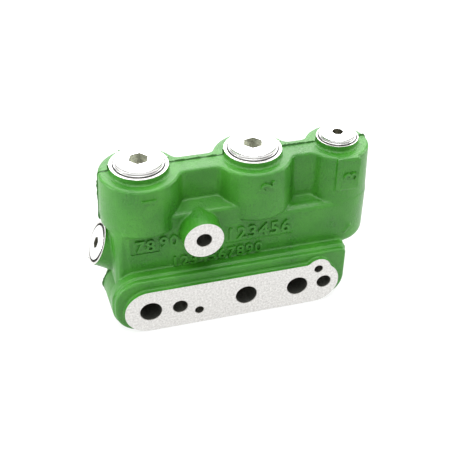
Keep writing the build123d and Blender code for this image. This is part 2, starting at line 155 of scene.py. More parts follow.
def makeStage(look):
    world = bpy.data.worlds.new("world")
    bpy.context.scene.world = world
    world.use_nodes = True
    tree = world.node_tree
    background = tree.nodes["Background"]
    background.inputs["Color"].default_value = (1, 1, 1, 1)
    strength = addNode(tree, "ShaderNodeMapRange", (-300, 200))
    strength.inputs["To Min"].default_value = look["worldLight"]
    strength.inputs["To Max"].default_value = 1.0
    link(tree, seenMask(tree), strength.inputs["Value"])
    link(tree, strength.outputs["Result"], background.inputs["Strength"])

    material, tree, dull = newMaterial("paleFloor", Base_Color=look["floorColour"], Roughness=0.9)
    seen = addNode(tree, "ShaderNodeBsdfDiffuse", (-300, -200))
    seen.inputs["Color"].default_value = look["seenColour"]
    glow = addNode(tree, "ShaderNodeEmission", (-300, -400))
    glow.inputs["Strength"].default_value = look["seenGlow"]
    added = addNode(tree, "ShaderNodeAddShader", (-100, -300))
    mixed = addNode(tree, "ShaderNodeMixShader", (200, 0))
    link(tree, seen.outputs[0], added.inputs[0])
    link(tree, glow.outputs[0], added.inputs[1])
    link(tree, seenMask(tree), mixed.inputs["Fac"])
    link(tree, dull.outputs[0], mixed.inputs[1])
    link(tree, added.outputs[0], mixed.inputs[2])
    link(tree, mixed.outputs[0], tree.nodes["Material Output"].inputs["Surface"])

    half, low = look["floorSize"] / 2, cadBox[0][2]
    mesh = bpy.data.meshes.new("floor")
    mesh.from_pydata([(-half, -half, low), (half, -half, low), (half, half, low), (-half, half, low)], [],
                     [(0, 1, 2, 3)])
    mesh.materials.append(material)
    floor = bpy.data.objects.new("floor", mesh)
    bpy.context.scene.collection.objects.link(floor)

    for name, lamp in look["lamps"].items():
        data = bpy.data.lights.new(name, "AREA")
        data.size = lamp["size"]
        data.energy = lamp["watts"]
        holder = bpy.data.objects.new(name, data)
        holder.location = lamp["place"]
        holder.rotation_euler = (-Vector(lamp["place"])).to_track_quat("-Z", "Y").to_euler()
        bpy.context.scene.collection.objects.link(holder)


makeStage(stageLook)
print("stage and lamps done")


# Shared surface effects
def newGroup(name, sockets):
    group = bpy.data.node_groups.new(name, "ShaderNodeTree")
    for label, side, kind, value in sockets:
        socket = group.interface.new_socket(label, in_out=side, socket_type=kind)
        if value is not None:
            socket.default_value = value
    return group, addNode(group, "NodeGroupInput", (-900, 0)), addNode(group, "NodeGroupOutput", (600, 0))


def makeGrainGroup():
    # sand-cast skin: fine grit on a slow waviness, and patches for colour and gloss
    group, given, result = newGroup("castGrain", [
        ("Grit Scale", "INPUT", "NodeSocketFloat", 1400.0), ("Grit Depth", "INPUT", "NodeSocketFloat", 0.0001),
        ("Wave Scale", "INPUT", "NodeSocketFloat", 90.0), ("Wave Depth", "INPUT", "NodeSocketFloat", 0.0003),
        ("Normal", "OUTPUT", "NodeSocketVector", None), ("Patches", "OUTPUT", "NodeSocketFloat", None),
        ("Pits", "OUTPUT", "NodeSocketFloat", None)])
    place = addNode(group, "ShaderNodeTexCoord", (-900, 300))
    grit = addNode(group, "ShaderNodeTexNoise", (-600, 300), in_Detail=4.0, in_Roughness=0.65)
    wave = addNode(group, "ShaderNodeTexNoise", (-600, 0), in_Detail=2.0)
    patch = addNode(group, "ShaderNodeTexNoise", (-600, -300), in_Scale=55.0, in_Detail=6.0)
    for texture in (grit, wave, patch):
        link(group, place.outputs["Object"], texture.inputs["Vector"])
    link(group, given.outputs["Grit Scale"], grit.inputs["Scale"])
    link(group, given.outputs["Wave Scale"], wave.inputs["Scale"])
    slow = addNode(group, "ShaderNodeBump", (-200, 0), in_Strength=1.0)
    fine = addNode(group, "ShaderNodeBump", (100, 200), in_Strength=1.0)
    link(group, wave.outputs["Fac"], slow.inputs["Height"])
    link(group, given.outputs["Wave Depth"], slow.inputs["Distance"])
    link(group, grit.outputs["Fac"], fine.inputs["Height"])
    link(group, given.outputs["Grit Depth"], fine.inputs["Distance"])
    link(group, slow.outputs["Normal"], fine.inputs["Normal"])
    pits = addNode(group, "ShaderNodeMapRange", (-200, 400), in_From_Min=0.54, in_From_Max=0.70)
    link(group, grit.outputs["Fac"], pits.inputs["Value"])
    link(group, fine.outputs["Normal"], result.inputs["Normal"])
    link(group, patch.outputs["Fac"], result.inputs["Patches"])
    link(group, pits.outputs["Result"], result.inputs["Pits"])
    return group


def makeToolMarkGroup():
    # marks of a cutter: arcs about a centre, and cloudy shade where the metal was wiped
    group, given, result = newGroup("toolMarks", [
        ("Centre", "INPUT", "NodeSocketVector", None), ("Mark Scale", "INPUT", "NodeSocketFloat", 900.0),
        ("Mark Depth", "INPUT", "NodeSocketFloat", 0.00001),
        ("Normal", "OUTPUT", "NodeSocketVector", None), ("Shade", "OUTPUT", "NodeSocketFloat", None)])
    place = addNode(group, "ShaderNodeTexCoord", (-900, 300))
    moved = addNode(group, "ShaderNodeVectorMath", (-700, 300), operation="SUBTRACT")
    link(group, place.outputs["Object"], moved.inputs[0])
    link(group, given.outputs["Centre"], moved.inputs[1])
    arcs = addNode(group, "ShaderNodeTexWave", (-400, 300), wave_type="RINGS", rings_direction="SPHERICAL",
                   in_Distortion=1.5, in_Detail=2.0)
    link(group, moved.outputs["Vector"], arcs.inputs["Vector"])
    link(group, given.outputs["Mark Scale"], arcs.inputs["Scale"])
    bump = addNode(group, "ShaderNodeBump", (-100, 300), in_Strength=1.0)
    link(group, arcs.outputs["Fac"], bump.inputs["Height"])
    link(group, given.outputs["Mark Depth"], bump.inputs["Distance"])
    cloud = addNode(group, "ShaderNodeTexNoise", (-400, 0), in_Scale=800.0, in_Detail=5.0, in_Roughness=0.75)
    link(group, place.outputs["Object"], cloud.inputs["Vector"])
    link(group, bump.outputs["Normal"], result.inputs["Normal"])
    link(group, cloud.outputs["Fac"], result.inputs["Shade"])
    return group


castGrain = makeGrainGroup()
toolMarks = makeToolMarkGroup()


def shadeBetween(tree, shader, factor, dark, light, low=0.3, high=0.7):
    # the base colour runs from dark to light over the factor's range
    span = addNode(tree, "ShaderNodeMapRange", (-500, 100), in_From_Min=low, in_From_Max=high)
    mixed = addNode(tree, "ShaderNodeMix", (-250, 100), data_type="RGBA")
    mixed.inputs[6].default_value = dark
    mixed.inputs[7].default_value = light
    link(tree, factor, span.inputs["Value"])
    link(tree, span.outputs["Result"], mixed.inputs[0])
    link(tree, mixed.outputs[2], shader.inputs["Base Color"])


# Finishes
paintLook = {
    "deep": (0.020, 0.168, 0.005, 1),       # where the paint lies thick
    "light": (0.042, 0.240, 0.012, 1),
    "pit": (0.010, 0.100, 0.002, 1),
    # painted shadow along the front foot of the mould seam's flash
    "seam": (0.012, 0.095, 0.004, 1),
    "seamY": 0.0329, "seamHalf": 0.00045,   # metres
    "patchRange": (0.3, 0.7),
    "roughness": (0.25, 0.42),
    "specular": 0.34, "coat": 0.25, "coatRoughness": 0.16,
    "gritScale": 1300.0, "gritDepth": 0.00045,
    "waveScale": 110.0, "waveDepth": 0.0004,
}
metalLooks = {
    # dark, light, roughness, mark scale, mark depth
    "machinedIron": ((0.46, 0.45, 0.43, 1), (0.86, 0.85, 0.83, 1), 0.44, 620.0, 0.000012),
    # bore walls: a darker copy of the machined iron, painted shade inside the deep holes
    "boreIron": ((0.24, 0.24, 0.22, 1), (0.44, 0.44, 0.40, 1), 0.42, 900.0, 0.00001),
    "zincSteel": ((0.90, 0.90, 0.89, 1), (0.98, 0.98, 0.975, 1), 0.22, 500.0, 0.000004),
    # darker copies of the zinc steel: painted shade on the plug heads' chamfer foot and side, and on the washers'
    # plates
    "zincEdge": ((0.13, 0.13, 0.12, 1), (0.20, 0.20, 0.19, 1), 0.3, 500.0, 0.000004),
    "zincSide": ((0.66, 0.66, 0.65, 1), (0.80, 0.80, 0.79, 1), 0.3, 500.0, 0.000004),
    # near-black: painted shadow at the foot of each port washer
    "footIron": ((0.03, 0.03, 0.03, 1), (0.06, 0.06, 0.06, 1), 0.5, 500.0, 0.000004),
    "largeSocket": ((0.26, 0.27, 0.23, 1), (0.78, 0.79, 0.70, 1), 0.4, 700.0, 0.00001),
    # the small plugs' sockets: a darker copy of the socket steel, painted shade inside the narrower hex holes
    "smallSocket": ((0.14, 0.14, 0.11, 1), (0.34, 0.33, 0.27, 1), 0.45, 700.0, 0.00001),
    "groundSteel": ((0.50, 0.50, 0.50, 1), (0.62, 0.62, 0.61, 1), 0.24, 900.0, 0.000004),
    "oiledSteel": ((0.20, 0.20, 0.21, 1), (0.34, 0.34, 0.35, 1), 0.34, 900.0, 0.000004),
}


def makePaint(look):
    material, tree, shader = newMaterial("castPaint", Specular_IOR_Level=look["specular"],
                                         Coat_Weight=look["coat"], Coat_Roughness=look["coatRoughness"])
    grain = addNode(tree, "ShaderNodeGroup", (-800, 0), node_tree=castGrain)
    for socket, key in (("Grit Scale", "gritScale"), ("Grit Depth", "gritDepth"), ("Wave Scale", "waveScale"),
                        ("Wave Depth", "waveDepth")):
        grain.inputs[socket].default_value = look[key]
    shadeBetween(tree, shader, grain.outputs["Patches"], look["deep"], look["light"], *look["patchRange"])
    pitted = addNode(tree, "ShaderNodeMix", (-50, 250), data_type="RGBA")
    pitted.inputs[7].default_value = look["pit"]
    link(tree, shader.inputs["Base Color"].links[0].from_socket, pitted.inputs[6])
    link(tree, grain.outputs["Pits"], pitted.inputs[0])

    # painted shadow: the paint is darkened along the front foot of the mould seam, where the flash ridge shades it
    place = addNode(tree, "ShaderNodeTexCoord", (-1000, 600))
    parts = addNode(tree, "ShaderNodeSeparateXYZ", (-800, 600))
    away = addNode(tree, "ShaderNodeMath", (-600, 600), operation="SUBTRACT")
    far = addNode(tree, "ShaderNodeMath", (-400, 600), operation="ABSOLUTE")
    seam = addNode(tree, "ShaderNodeMapRange", (-200, 600))
    away.inputs[1].default_value = look["seamY"]
    seam.inputs["From Min"].default_value = look["seamHalf"]
    seam.inputs["From Max"].default_value = look["seamHalf"] * 0.5
    seamShadowed = addNode(tree, "ShaderNodeMix", (100, 400), data_type="RGBA")
    seamShadowed.inputs[7].default_value = look["seam"]
    link(tree, place.outputs["Object"], parts.inputs[0])
    link(tree, parts.outputs["Y"], away.inputs[0])
    link(tree, away.outputs[0], far.inputs[0])
    link(tree, far.outputs[0], seam.inputs["Value"])
    link(tree, seam.outputs["Result"], seamShadowed.inputs[0])
    link(tree, pitted.outputs[2], seamShadowed.inputs[6])
    link(tree, seamShadowed.outputs[2], shader.inputs["Base Color"])

    gloss = addNode(tree, "ShaderNodeMapRange", (-500, -150))
    gloss.inputs["From Min"].default_value, gloss.inputs["From Max"].default_value = look["patchRange"]
    gloss.inputs["To Min"].default_value, gloss.inputs["To Max"].default_value = look["roughness"]
    link(tree, grain.outputs["Patches"], gloss.inputs["Value"])
    link(tree, gloss.outputs["Result"], shader.inputs["Roughness"])
    link(tree, grain.outputs["Normal"], shader.inputs["Normal"])
    return material


def makeMetal(name, dark, light, roughness, markScale, markDepth):
    material, tree, shader = newMaterial(name, Metallic=1.0, Roughness=roughness)
    marks = addNode(tree, "ShaderNodeGroup", (-800, 0), node_tree=toolMarks)
    marks.inputs["Mark Scale"].default_value = markScale
    marks.inputs["Mark Depth"].default_value = markDepth
    shadeBetween(tree, shader, marks.outputs["Shade"], dark, light)
    link(tree, marks.outputs["Normal"], shader.inputs["Normal"])
    return material


castPaint = makePaint(paintLook)
metals = {name: makeMetal(name, *look) for name, look in metalLooks.items()}
blackRubber, rubberTree, rubberShader = newMaterial("blackRubber", Base_Color=(0.02, 0.02, 0.02, 1), Roughness=0.7)
rubberGrain = addNode(rubberTree, "ShaderNodeGroup", (-500, 0), node_tree=castGrain)
rubberGrain.inputs["Grit Depth"].default_value = 0.00003
link(rubberTree, rubberGrain.outputs["Normal"], rubberShader.inputs["Normal"])
print("materials done")


# Meshes
def objectFrom(name, mesh, material=None):
    if material:
        mesh.materials.append(material)
    piece = bpy.data.objects.new(name, mesh)
    bpy.context.scene.collection.objects.link(piece)
    return piece


def axisFrame(start, direction, turn=0.0):
    direction = Vector(direction).normalized()
    side = Vector((1, 0, 0)) if abs(direction.x) < 0.7 else Vector((0, 1, 0))
    across = direction.cross(side).normalized()
    side = across.cross(direction)
    square = Matrix((side, across, direction)).transposed().to_4x4()
    return Matrix.Translation(Vector(start)) @ square @ Matrix.Rotation(turn, 4, "Z")


def turned(name, profile, start, direction, material=None, segments=72, turn=0.0, closed=False):
    # a closed solid of revolution: profile holds (radius, distance along the axis), all in metres,
    # from pole to pole, or round a ring's section where closed is set
    mesh = bpy.data.meshes.new(name)
    shape = bmesh.new()
    place = axisFrame(start, direction, turn)
    rings = []
    for radius, along in profile:
        angles = [0.0] if radius < 1e-7 else [2 * math.pi * i / segments for i in range(segments)]
        rings.append([shape.verts.new(place @ Vector((radius * math.cos(a), radius * math.sin(a), along)))
                      for a in angles])
    pairs = list(zip(rings, rings[1:])) + ([(rings[-1], rings[0])] if closed else [])
    for low, high in pairs:
        for i in range(segments):
            j = (i + 1) % segments
            corners = [low[i % len(low)], low[j % len(low)], high[j % len(high)], high[i % len(high)]]
            shape.faces.new(list(dict.fromkeys(corners)))
    bmesh.ops.recalc_face_normals(shape, faces=shape.faces)
    shape.to_mesh(mesh)
    shape.free()
    return objectFrom(name, mesh, material)


def boxTool(name, low, high, material=None):
    mesh = bpy.data.meshes.new(name)
    shape = bmesh.new()
    bmesh.ops.create_cube(shape, size=1.0)
    for corner in shape.verts:
        corner.co = Vector(high[k] if corner.co[k] > 0 else low[k] for k in range(3))
    shape.to_mesh(mesh)
    shape.free()
    return objectFrom(name, mesh, material)


def bakeModifiers(piece):
    seen = bpy.context.evaluated_depsgraph_get()
    mesh = bpy.data.meshes.new_from_object(piece.evaluated_get(seen))
    piece.modifiers.clear()
    piece.data = mesh


def carve(piece, tools):
    for tool in tools:
        cut = piece.modifiers.new("cut", "BOOLEAN")
        cut.operation = "DIFFERENCE"
        cut.solver = "MANIFOLD"
        cut.material_mode = "TRANSFER"
        cut.object = tool
    bakeModifiers(piece)
    for tool in tools:
        bpy.data.objects.remove(tool)


def joined(name, pieces):
    # several objects into one, each face keeping its own material
    materials = []
    whole = bmesh.new()
    for piece in pieces:
        own = [m for m in piece.data.materials]
        for material in own:
            if material not in materials:
                materials.append(material)
        before = len(whole.faces)
        whole.from_mesh(piece.data)
        whole.faces.ensure_lookup_table()
        for face in whole.faces[before:]:
            face.material_index = materials.index(own[face.material_index]) if own else 0
        bpy.data.objects.remove(piece)
    mesh = bpy.data.meshes.new(name)
    whole.to_mesh(mesh)
    whole.free()
    for material in materials:
        mesh.materials.append(material)
    return objectFrom(name, mesh)


def roundOff(piece, degrees=35):
    piece.data.polygons.foreach_set("use_smooth", [True] * len(piece.data.polygons))
    piece.data.set_sharp_from_angle(angle=math.radians(degrees))


def centreOf(node):
    low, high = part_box(node)
    return (low + high) / 2


# Seats of the four plugs: a point on the seat plane and the way out
washerT = 0.9 * mm
joints = {joint["name"]: joint for joint in frame["record"]["behaviour"]["joints"]}
reliefOut = Vector(joints["relief_lift"]["axis"])
reliefOut.normalize()
upwards = Vector((0, 0, 1))
seats = {}
for place, out in (("return_port", upwards), ("pressure_port", upwards), ("signal_port", upwards),
                   ("relief", reliefOut)):
    seats[place] = (centreOf(place + "_washer") - out * washerT / 2, out)
portY = seats["return_port"][0].y
portZ = seats["return_port"][0].z

# Drillings: each has a mouth, a way in, and steps of (radius, depth), in mm
drillings = {
    "recess": 2.1,                    # the relief plug's head sits this deep
    "recessR": 11.3,
    "threads": {"large": (11.0, 17.0), "small": (7.0, 13.0)},
    "portDrillR": 7.5,
    "returnBottom": -6.0, "pressureBottom": -4.0,
    "cage": 4.5, "signalDrillR": 2.2, "crossZ": 27.0,
    "crossR": 2.0, "crossEndX": 37.0, "expander": (3.5, 7.1),
    "slopeR": 1.8, "slopeX": 39.5, "slopeRun": 21.6, "slopeEndZ": 10.2,
    "coreR": 5.5, "coreZ": 14.3, "coreEndX": 26.9,
    "reliefSteps": [(5.5, 60.0), (4.0, 87.3)],
    "boltBacks": [(-43.4, 0.0, 46.0), (43.4, 0.0, 46.0), (-29.5, 45.0, 51.9)],    # x, z, and y of the back
    "boltR": 4.25, "boltPadR": 9.5,
    "mouthChamfer": 0.8, "edgeBreak": 0.25,
    "castMouth": -0.4,                # below 0: a mouth in the cast skin, filled up to this depth
    "pointing": 0.6,                  # a drill point's length in radii
    "wider": 0.7,                     # what a fill overlaps the iron round it
}
reliefRim = seats["relief"][0] + reliefOut * drillings["recess"] * mm


def drillingList(values):
    holes = []
    large, small, chamfer = values["threads"]["large"], values["threads"]["small"], values["mouthChamfer"]
    topZ = portZ / mm
    down = (0, 0, -1)
    for place, bottom in (("return_port", values["returnBottom"]), ("pressure_port", values["pressureBottom"])):
        holes.append((seats[place][0], down, [large, (values["portDrillR"], topZ - bottom)], chamfer))
    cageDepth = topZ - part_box("check_cage")[0].z / mm
    holes.append((seats["signal_port"][0], down, [small, (values["cage"], cageDepth),
                                                  (values["signalDrillR"], topZ - values["crossZ"])], chamfer))
    steps = [(values["recessR"], values["recess"]), (small[0], values["recess"] + small[1])]
    holes.append((reliefRim, -reliefOut, steps + values["reliefSteps"], 0.0))
    for mount in frame["record"]["mounts"]:
        if mount["kind"] == "bore":
            x, y, z = mount["pos_m"]
            depth = mount["dims"]["length_mm"]
            holes.append(((x, 0, z), (0, 1, 0), [(mount["dims"]["r_mm"], depth)], values["edgeBreak"]))
    for x, z, back in values["boltBacks"]:
        holes.append(((x * mm, 0, z * mm), (0, 1, 0), [(values["boltR"], back + 1.0)], values["edgeBreak"]))
    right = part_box("expander_sleeve")[1].x + 0.6 * mm
    cross = Vector((right, portY, values["crossZ"] * mm))
    crossSteps = [values["expander"], (values["crossR"], right / mm - values["crossEndX"])]
    holes.append((cross, (-1, 0, 0), crossSteps, values["castMouth"]))
    return holes


def drillTool(hole, material):
    start, inward, steps, chamfer = hole
    out = 6.0                # the tool starts this far outside
    radius, depth = steps[0][0], 0.0
    chamfer = max(chamfer, 0.0)
    profile = [(0, -out), (radius + chamfer, -out)]
    if chamfer:
        profile += [(radius + chamfer, 0), (radius, chamfer)]
    for radius, end in steps:
        if profile[-1][0] != radius:
            profile.append((radius, depth))
        profile.append((radius, end))
        depth = end
    profile.append((0, depth + radius * drillings["pointing"]))
    return turned("drill", [(r * mm, a * mm) for r, a in profile], start, inward, material)


def fillTool(hole, stock, wider):
    # the same hole filled, a little wider, up to the uncut face
    start, inward, steps, chamfer = hole
    stock = stock if chamfer >= 0 else chamfer
    profile, depth = [(0, -stock)], -stock
    for radius, end in steps:
        grown = radius + wider + (max(chamfer, 0.0) if depth < 0 else 0)
        profile += [(grown, depth), (grown, end + (wider if end == steps[-1][1] else 0))]
        depth = profile[-1][1]
    profile.append((0, depth))
    return turned("fill", [(r * mm, a * mm) for r, a in profile], start, inward)


# The four plugs and their bonded washers, in mm
plugSizes = {
    "large": {"headR": 13.3, "headH": 2.2, "threadR": 10.92, "shank": 13.5, "pitch": 1.5, "socket": 10.0,
              "socketDepth": 7.0, "turn": 13.0, "socketFinish": "largeSocket"},
    "small": {"headR": 10.0, "headH": 1.8, "threadR": 6.92, "shank": 10.5, "pitch": 1.5, "socket": 6.0,
              "socketDepth": 5.0, "turn": 43.0, "socketFinish": "smallSocket"},
    "headEdge": 0.6, "underEdge": 0.3, "underIn": 0.7,
    "ridge": 0.75, "tip": 0.8, "neck": 0.3, "neckLength": 1.2,
    "pilotShare": 0.46,                 # pilot drilling's radius per socket width
    "washerOver": 0.6, "washerBead": 0.35, "rubberWidth": 0.9, "rubberGap": 0.05,
    # the groove round each port washer is near-black: painted shadow at the washer's foot
    "footOver": (-0.1, 0.7), "footDepth": 0.2,       # the dark groove round each port washer
}


# The casting
casting = {
    "voxel": 0.52,           # all in mm
    "stock": 2.0,            # what stands proud of each machined face before it is cut
    "smoothing": 1,
    "triangles": 150000,
    "partingY": 33.3, "flashHalf": 0.5, "flashHeight": 1.25, "flashLength": 6.0, "flashLowZ": -14.2,
    "flashStep": 1.2,        # longest edge along the seam
    "seatR": 9.6, "reliefFlatR": 13.4, "toolHeight": 20.0,
    "ledges": [(-58.1, 6.2, 56.2, 1.8, 2.9), (6.2, 56.3, 47.6, 2.6, 2.8)],   # from x, to x, height, edge, rise
    "ledgeDeep": 6.5, "ledgeFront": 11.3, "ledgeBack": 26.0,
    "tuckFromZ": 43.0, "tuckToZ": 51.5, "tuckR": 22.9, "tuckX": -72.0,
}
castMarks = {
    # raised numbers: text, centre x and z, height, degrees, what they stand on
    "numbers": [("1", -57.6, 70.3, 8.0, 90, "return_port"), ("2", 8.2, 69.0, 8.0, 90, "pressure_port"),
                ("3", 58.4, 65.0, 8.5, 90, "tablet"), ("123456", 5.7, 37.9, 8.6, 0, "raised"),
                ("1234567890", -18.2, 25.0, 7.2, 1.4, "front"), ("78", -60.1, 38.3, 8.0, 0, "bare"),
                ("90", -46.8, 39.6, 7.6, 0, "front")],
    "raise": 1.1, "bolder": 0.24, "spacing": 1.12, "sizePerHeight": 1.35,
    "grounds": {"front": 11.3, "raised": 10.95, "bare": 11.75, "tablet": 11.35},    # y of what they stand on
    "barrelR": 22.4, "barrelTopZ": 76.6, "draft": 2.0,
    "tablet": ((53.2, 56.2), (63.6, 75.4)), "tabletBackY": 15.5,       # corners in x and z
    "raisedPlate": ((-14.0, 32.0), (25.5, 43.8)), "plateRaise": 0.35, "plateInto": 2.0,
    "barePlate": ((-68.2, 33.2), (-52.0, 43.6)), "bareDepth": 0.45,
    "tick": ((58.0, 25.2), (61.6, 30.4)), "tickWide": 0.9, "tickY": 11.6, "tickDeep": 0.8,
}


def plainCopy(node):
    # the node's triangles merged into one closed mesh, without its stored normals
    source = frame["nodes"][node].data
    mesh = bpy.data.meshes.new(node + "Copy")
    mesh.from_pydata([v.co[:] for v in source.vertices], [], [p.vertices[:] for p in source.polygons])
    shape = bmesh.new()
    shape.from_mesh(mesh)
    bmesh.ops.remove_doubles(shape, verts=shape.verts, dist=1e-6)
    shape.to_mesh(mesh)
    shape.free()
    return mesh


def numberMesh(text, x, z, height, degrees, ground, values):
    # raised figures laid on the front of the casting, or on a barrel's round front
    curve = bpy.data.curves.new("figures", "FONT")
    curve.body = text
    curve.size = height * mm * values["sizePerHeight"]
    curve.extrude = values["raise"] * mm
    curve.offset = values["bolder"] * mm
    curve.resolution_u = 4
    curve.space_character = values["spacing"]
    curve.align_x, curve.align_y = "CENTER", "CENTER"
    holder = bpy.data.objects.new("figures", curve)
    bpy.context.scene.collection.objects.link(holder)
    bakeable = bpy.context.evaluated_depsgraph_get()
    mesh = bpy.data.meshes.new_from_object(holder.evaluated_get(bakeable))
    bpy.data.objects.remove(holder)
    shape = bmesh.new()
    shape.from_mesh(mesh)
    bmesh.ops.remove_doubles(shape, verts=shape.verts, dist=1e-7)
    middle = [sum(side(v.co[k] for v in shape.verts) for side in (min, max)) / 2 for k in (0, 1)]
    bmesh.ops.translate(shape, verts=shape.verts, vec=(-middle[0], -middle[1], 0))
    shape.to_mesh(mesh)
    shape.free()
    turn = Matrix.Rotation(math.radians(degrees), 2)
    slope = math.tan(math.radians(values["draft"]))
    for corner in mesh.vertices:
        flat = turn @ Vector((corner.co.x, corner.co.y))
        px, pz = x * mm + flat.x, z * mm + flat.y
        surface = values["grounds"].get(ground, 0) * mm
        if ground in seats:
            centre = seats[ground][0]
            radius = values["barrelR"] * mm + (values["barrelTopZ"] * mm - pz) * slope
            surface = centre.y - math.sqrt(radius ** 2 - (px - centre.x) ** 2)
        corner.co = (px, surface - corner.co.z, pz)
    return objectFrom("figures", mesh)


def tickMesh(values):
    # a short raised stroke
    (x0, z0), (x1, z1) = values["tick"]
    middle = Vector(((x0 + x1) / 2, values["tickY"], (z0 + z1) / 2)) * mm
    along = Vector((x1 - x0, 0, z1 - z0))
    corner = Vector((values["tickWide"] / 2, values["tickDeep"], along.length / 2)) * mm
    stroke = boxTool("tick", -corner, corner)
    leaning = upwards.rotation_difference(along).to_matrix().to_4x4()
    stroke.data.transform(Matrix.Translation(middle) @ leaning)
    return stroke


def pushStock(mesh, values):
    # machined faces are moved outwards, so that the skin's soft edges fall in what is cut off
    stock, near, padR = values["stock"] * mm, 0.00002, drillings["boltPadR"] * mm
    for corner in mesh.vertices:
        x, y, z = corner.co
        if abs(y) < near:
            corner.co.y -= stock
        if abs(z - portZ) < near:
            corner.co.z += stock
        if abs((corner.co - reliefRim).dot(reliefOut)) < near:
            corner.co += reliefOut * stock
        for boltX, boltZ, backY in drillings["boltBacks"]:
            if abs(y - backY * mm) < near and math.hypot(x - boltX * mm, z - boltZ * mm) < padR:
                corner.co.y += stock


def ledgeSolid(startX, endX, topZ, edge, rise, values):
    # fills the shoulder up to a tighter front corner, and slopes it up to the web
    startX, endX, topZ, edge, rise = (value * mm for value in (startX, endX, topZ, edge, rise))
    front, back, deep = (values[key] * mm for key in ("ledgeFront", "ledgeBack", "ledgeDeep"))
    section = [(front, topZ - deep), (front, topZ - edge), (front + edge * 0.3, topZ - edge * 0.3),
               (front + edge, topZ), (back, topZ + rise), (back, topZ - deep)]
    shape = bmesh.new()
    ends = [[shape.verts.new((x, y, z)) for y, z in section] for x in (startX, endX)]
    for i in range(len(section)):
        j = (i + 1) % len(section)
        shape.faces.new((ends[0][i], ends[0][j], ends[1][j], ends[1][i]))
    shape.faces.new(ends[0])
    shape.faces.new(list(reversed(ends[1])))
    bmesh.ops.recalc_face_normals(shape, faces=shape.faces)
    mesh = bpy.data.meshes.new("ledge")
    shape.to_mesh(mesh)
    shape.free()
    return objectFrom("ledge", mesh)


def tuckCorners(mesh, values):
    # the left end's upper corners lean in under the return barrel
    centre = seats["return_port"][0]
    limitX, fromZ, toZ, radius = (values[key] * mm for key in ("tuckX", "tuckFromZ", "tuckToZ", "tuckR"))
    for corner in mesh.vertices:
        x, y, z = corner.co
        reach = math.hypot(x - centre.x, y - centre.y)
        if x < limitX and fromZ < z < toZ and reach > radius:
            pull = radius / reach
            corner.co.x = centre.x + (x - centre.x) * pull
            corner.co.y = centre.y + (y - centre.y) * pull


def raiseFlash(piece, values):
    # a thin ragged line of flash where the two halves of the mould met
    middle, half = values["partingY"] * mm, values["flashHalf"] * mm
    shape = bmesh.new()
    shape.from_mesh(piece.data)
    for y in (middle - half, middle + half, middle):
        bmesh.ops.bisect_plane(shape, geom=shape.verts[:] + shape.edges[:] + shape.faces[:], dist=1e-7,
                               plane_co=(0, y, 0), plane_no=(0, 1, 0))
    for halving in range(3):
        long = [e for e in shape.edges if all(abs(v.co.y - middle) < 1e-6 for v in e.verts)
                and e.calc_length() > values["flashStep"] * mm]
        bmesh.ops.subdivide_edges(shape, edges=long, cuts=1)
    shape.normal_update()
    scale = 1 / (values["flashLength"] * mm)
    for corner in shape.verts:
        if abs(corner.co.y - middle) < 1e-6 and corner.co.z > values["flashLowZ"] * mm:
            away = Vector((corner.normal.x, 0, corner.normal.z))
            if away.length > 0.3:
                rough = noise.noise(corner.co * scale) + 0.6 * noise.noise(corner.co * scale * 4.3)
                corner.co += away.normalized() * values["flashHeight"] * mm * max(0.3, 0.6 + 0.6 * rough)
    bmesh.ops.triangulate(shape, faces=shape.faces[:])
    shape.to_mesh(piece.data)
    shape.free()


def innerPassages(values, wider, material=None):
    # the cored gallery in two legs, and the slanted drilling to the ear: as tools, or wider to fill them
    pressureX = seats["pressure_port"][0].x
    coreZ, endX = values["coreZ"] * mm, values["coreEndX"] * mm
    length, core = endX - pressureX, (values["coreR"] + wider) * mm
    if wider:
        more, most = 5 * mm, 6 * mm
        along = [(0, 0), (core, 0), (core, length + more), (0, length + most)]
        down = [(0, 0), (core, 0), (core, coreZ + more), (0, coreZ + most)]
    else:
        soft = core * 0.7        # round ends
        along = [(0, 0), (core, 0), (core, length), (soft, length + soft), (0, length + core)]
        down = [(0, -core), (soft, -soft), (core, 0), (core, coreZ), (soft, coreZ + soft), (0, coreZ + core)]
    slopeRun, slopeRise = values["slopeRun"] * mm, (values["crossZ"] - values["slopeEndZ"]) * mm
    slopeStart = Vector((values["slopeX"] * mm, portY, values["crossZ"] * mm))
    slopeR, slopeLength = (values["slopeR"] + wider) * mm, math.hypot(slopeRun, slopeRise)
    slope = [(0, 0), (slopeR, 0), (slopeR, slopeLength), (0, slopeLength)]
    return [turned("passage", along, (pressureX, portY, coreZ), (1, 0, 0), material),
            turned("passage", down, (endX, portY, coreZ), (0, 0, -1), material),
            turned("passage", slope, slopeStart, (0, -slopeRun, -slopeRise), material)]


